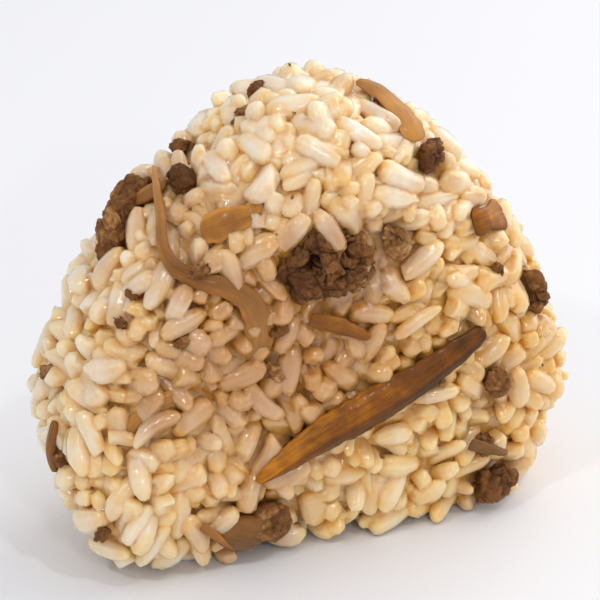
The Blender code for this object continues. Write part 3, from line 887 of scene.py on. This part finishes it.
# scraps of root too small for a solid of their own, pressed into the rice
scraps = {
    "upper": dict(path=[(-101, 46), (-94, 51), (-90, 56)], widths=(0.0024, 0.003, 0.0022),
        shades=(0.1, 0.4, 0.6), thickness=0.0016, depth=0.0008, ridge=0.3, lower=0.2, milky=0.4,
        paleEdge=0.1),
    "edge": dict(path=[(-82, -6), (-83, -12.6), (-83, -18)], widths=(0.0012, 0.0026, 0.0012),
        shades=(0.6, 0.6, 0.6), thickness=0.0016, depth=0.0004),
    "foot": dict(path=[(50, -25.5), (55, -26.4), (60, -27.4)], widths=(0.002, 0.0018, 0.0008),
        shades=(0.9, 0.8, 0.9), ridge=0.3, milky=0.3),
    "back": dict(path=[(-150, 8), (-158, 4), (-165, 4)], widths=(0.0016, 0.003, 0.0014),
        shades=(0.3, 0.4, 0.3), depth=0.0008, paleEdge=0.2),
    "backTop": dict(path=[(150, 52), (162, 56), (176, 57)], widths=(0.0016, 0.0034, 0.0014),
        shades=(0.15, 0.3, 0.15), depth=0.001, ridge=0.1, paleEdge=0.3),
    "base": dict(path=[(-43, -36), (-38, -43), (-31, -48)], widths=(0.0034, 0.006, 0.0064, 0.005),
        shades=(0.75, 0.8, 0.85), thickness=0.0036, depth=0.0009, ridge=0.1, milky=0.3),
}


def smoothPath(points, share):
    # Catmull-Rom curve through the points
    place = share * (len(points) - 1)
    first = min(int(place), len(points) - 2)
    t = place - first
    before = points[max(first - 1, 0)]
    start, end = points[first], points[first + 1]
    after = points[min(first + 2, len(points) - 1)]
    return 0.5 * (2 * start + (end - before) * t + (2 * before - 5 * start + 4 * end - after) * t ** 2
                  + (3 * start - before - 3 * end + after) * t ** 3)


def valueAt(share, values):
    # one value, or several spread evenly along the path
    values = np.atleast_1d(values)
    return float(np.interp(share, np.linspace(0, 1, len(values)), values))


rootCut = {
    "step": 0.0004,  # from ring to ring
    "sides": 20,
    "crest": 0.15,  # the ridge runs a little off the middle
    "fray": (0.45, 0.8),  # length of the torn ends in widths, and how uneven they are
    "tips": (0.25, 0.45),  # width and height left at the very ends
    "ragged": (700, 0.12),  # scale and height of what the sides are torn into
    "fibres": (260, 0.00013),
    "lowest": 0.0002,  # above the ground
}


def sliverMesh(sliver, seed):
    # a closed tube of rings, bent along the skin and given the root's width, ridge and torn ends
    cut = {**usualSliver, **sliver}
    points = [skinPoint(toward(*place)) for place in cut["path"]]
    length = sum((b - a).length for a, b in zip(points, points[1:]))
    steps = max(16, round(length / rootCut["step"]))
    body = bmesh.new()
    bmesh.ops.create_cone(body, cap_ends=True, segments=rootCut["sides"], radius1=0.5, radius2=0.5, depth=1.0)
    lengthwise = [edge for edge in body.edges if abs(edge.verts[0].co.z - edge.verts[1].co.z) > 0.5]
    bmesh.ops.subdivide_edges(body, edges=lengthwise, cuts=steps - 1, use_grid_fill=True)
    bmesh.ops.poke(body, faces=[face for face in body.faces if len(face.verts) > 4])
    alongs, acrosses, shades, paleness = [], [], [], []
    ridge, crest, frames = cut["ridge"], rootCut["crest"], {}
    startShade, middleShade, endShade = cut["shades"]
    for vert in body.verts:
        share = vert.co.z + 0.5
        key = round(share * steps)
        if key not in frames:
            at = smoothPath(points, share)
            ahead = smoothPath(points, min(share + 0.02, 1)) - smoothPath(points, max(share - 0.02, 0))
            normal = (Vector(skinDepth(np.array([at]))[1][0]) + Vector(cut["lean"])).normalized()
            frames[key] = at, ahead.normalized().cross(normal).normalized(), normal
        at, sideways, normal = frames[key]
        bulge = math.sin(math.pi * share) ** 0.7
        width = valueAt(share, cut["widths"])
        height = cut["thickness"] * (0.45 + 0.55 * bulge)
        across, over = vert.co.x * 2, vert.co.y * 2
        # torn ends, rounded off and a little frayed
        uneven = noise.noise(Vector((seed * 3, across * 4.0, math.copysign(9, share - 0.5))))
        torn = rootCut["fray"][0] * width * (1 + rootCut["fray"][1] * uneven)
        nearEnd = min(min(share, 1 - share) * length / torn, 1.0)
        full = math.sqrt(1 - (1 - nearEnd) ** 2)
        width *= rootCut["tips"][0] + (1 - rootCut["tips"][0]) * full
        height *= rootCut["tips"][1] + (1 - rootCut["tips"][1]) * full
        # the root splits along its fibres, so its sides are ragged and a roof-like ridge runs along it
        fibre = noise.noise(Vector((across * 3.5 + seed, over * 2.0, share * length * rootCut["fibres"][0])))
        ragged = noise.noise(Vector((seed, share * length * rootCut["ragged"][0], math.copysign(3, across))))
        roof = 1 - abs(across - crest) / (1 + math.copysign(crest, crest - across))
        y = over * (1 - abs(ridge)) + math.copysign(max(roof, 0), over) * ridge + 0.25 * abs(ridge) * over
        if ridge < 0 and over > 0:  # a hollow along the middle instead
            y = over * (1 + ridge * 1.6 * (1 - across ** 2))
        outward = y / 2 * height + rootCut["fibres"][1] * fibre - valueAt(share, cut["depth"])
        spread = across / 2 * width * (1 + rootCut["ragged"][1] * ragged * abs(across))
        vert.co = at + sideways * spread + normal * outward
        vert.co.z = max(vert.co.z, rootCut["lowest"])
        alongs.append(share * length * 1000)
        acrosses.append(across * width * 500 + 7.0 * seed)
        edge = max(abs(across) - 0.5, 0) / 0.5
        shade = startShade * max(1 - 2 * share, 0) + endShade * max(2 * share - 1, 0)
        shade += middleShade * (1 - abs(2 * share - 1)) - cut["paleEdge"] * edge ** 2
        shades.append(shade + (cut["lower"] if across > crest else 0))
        paleness.append(min(valueAt(share, cut["milky"]) + 0.5 * max(cut["paleEdge"], 0) * edge, 1))
    bmesh.ops.recalc_face_normals(body, faces=body.faces)
    if body.calc_volume(signed=True) < 0:
        bmesh.ops.reverse_faces(body, faces=body.faces)
    return finishMesh(body, along=alongs, across=acrosses, shade=shades, milky=paleness)


# Burdock root simmered in soy and sugar: fibrous and slightly see-through, golden amber where it is thin or
# freshly cut and dark brown at its skin side, with a wet glaze broken by the lengthwise fibres
burdockLook = {
    "amber": "#d08818", "brown": "#884e0c", "dark": "#472708", "milky": "#c69458", "roughness": 0.40,
    "fibres": (2.6, 0.07, 0.0003),  # scale in millimetres for about 0.25 mm, squeezed along, and height
    "blotches": 330.0,  # scale for about 3 mm
}


def simmeredBurdock():
    material, shader, add = startMaterial("simmeredBurdockRoot", {
        "Roughness": burdockLook["roughness"], "Specular IOR Level": 0.2, "IOR": 1.42, "Coat Weight": 0.12,
        "Coat Roughness": 0.15, "Subsurface Weight": 0.6, "Subsurface Radius": (1.0, 0.7, 0.45),
        "Subsurface Scale": 0.0010})
    along, across, shade, milky = readAttributes(add, "along", "across", "shade", "milky")
    place = add("TexCoord").outputs["Object"]
    scale, squeeze, relieved = burdockLook["fibres"]
    squeezed = add("Math", {0: along, 1: squeeze}, operation="MULTIPLY")
    grain = add("CombineXYZ", {"X": across, "Y": squeezed})
    fibres = add("TexNoise", {"Vector": grain, "Scale": scale, "Detail": 4.0})
    streaky = add("Math", {0: fibres, 1: 0.55, 2: shade}, operation="MULTIPLY_ADD")
    blotches = add("TexNoise", {"Vector": place, "Scale": burdockLook["blotches"], "Detail": 2.0})
    level = add("Math", {0: blotches, 1: 0.8, 2: streaky}, operation="MULTIPLY_ADD")
    shifted = add("Math", {0: level, 1: 0.675}, operation="SUBTRACT")
    body = add("ValToRGB", {"Fac": shifted})
    fillRamp(body, burdockLook["amber"], burdockLook["brown"], burdockLook["dark"])
    cloudy = add("Math", {0: milky, 1: 0.75}, operation="MULTIPLY")
    white = linearColor(burdockLook["milky"])
    color = add("Mix", {"Factor": cloudy, "A": body, "B": white}, data_type="RGBA")
    relief = add("Bump", {"Height": fibres, "Strength": 0.6, "Distance": relieved})
    setInputs(shader, {"Base Color": color, "Normal": relief})
    return material


burdockMaterial = simmeredBurdock()
for index, (name, sliver) in enumerate(slivers.items()):
    root = sliverMesh(sliver, 1.7 * index)
    addPiece("root_" + name, root, burdockMaterial, ["burdock_" + name])
for index, (name, sliver) in enumerate(scraps.items()):
    addPiece("root_scrap_" + name, sliverMesh(sliver, 31 + 2.3 * index), burdockMaterial)
print("made the burdock")

studio = {
    "floor": "#edeef2", "floorSize": 3.0,
    "world": ("#f6f7fb", 0.72),
    "lights": {  # watts, size, place and colour
        "key": (3.2, 0.80, (0.56, 0.16, 0.44), "#fffaf2"),
        # small lamps that show the wet skin of the rice
        "glint0": (0.32, 0.03, (0.10, -0.28, 0.50), "#ffffff"),
        "glint1": (0.32, 0.03, (-0.30, -0.20, 0.40), "#ffffff"),
        "glint2": (0.32, 0.03, (-0.05, -0.50, 0.30), "#ffffff"),
    },
    "lens": 173,  # on a sensor 36 mm wide
    "camera": (-0.13716, -0.34509, 0.20471),
    "aim": (-0.00111, -0.0032, 0.03312),
}


def addFloor():
    # a pale matt board, so that only the shadow shows
    body = bmesh.new()
    bmesh.ops.create_grid(body, x_segments=1, y_segments=1, size=studio["floorSize"])
    mesh = finishMesh(body)
    color = linearColor(studio["floor"])
    mesh.materials.append(startMaterial("paleMattBoard", {"Base Color": color, "Roughness": 0.6})[0])
    addObject("floor", mesh)


def pointAt(thing, place, target):
    thing.location = place
    thing.rotation_euler = (Vector(target) - Vector(place)).to_track_quat("-Z", "Y").to_euler()


def addLight(name, watts, size, place, color):
    lamp = bpy.data.lights.new(name, "AREA")
    lamp.energy, lamp.size, lamp.color = watts, size, linearColor(color)[:3]
    pointAt(addObject(name, lamp), place, (0, 0, 0.03))


addFloor()
world = bpy.data.worlds.new("softStudio")
world.use_nodes = True
color, strength = studio["world"]
setInputs(world.node_tree.nodes["Background"], {"Color": linearColor(color), "Strength": strength})
bpy.context.scene.world = world
for name, light in studio["lights"].items():
    addLight(name, *light)

bpy.context.scene.view_settings.view_transform = "Standard"
lens = bpy.data.cameras.new("camera")
lens.lens = studio["lens"]
lens.sensor_width = 36
camera = addObject("camera", lens)
pointAt(camera, studio["camera"], studio["aim"])
bpy.context.scene.camera = camera
print("set the stage")
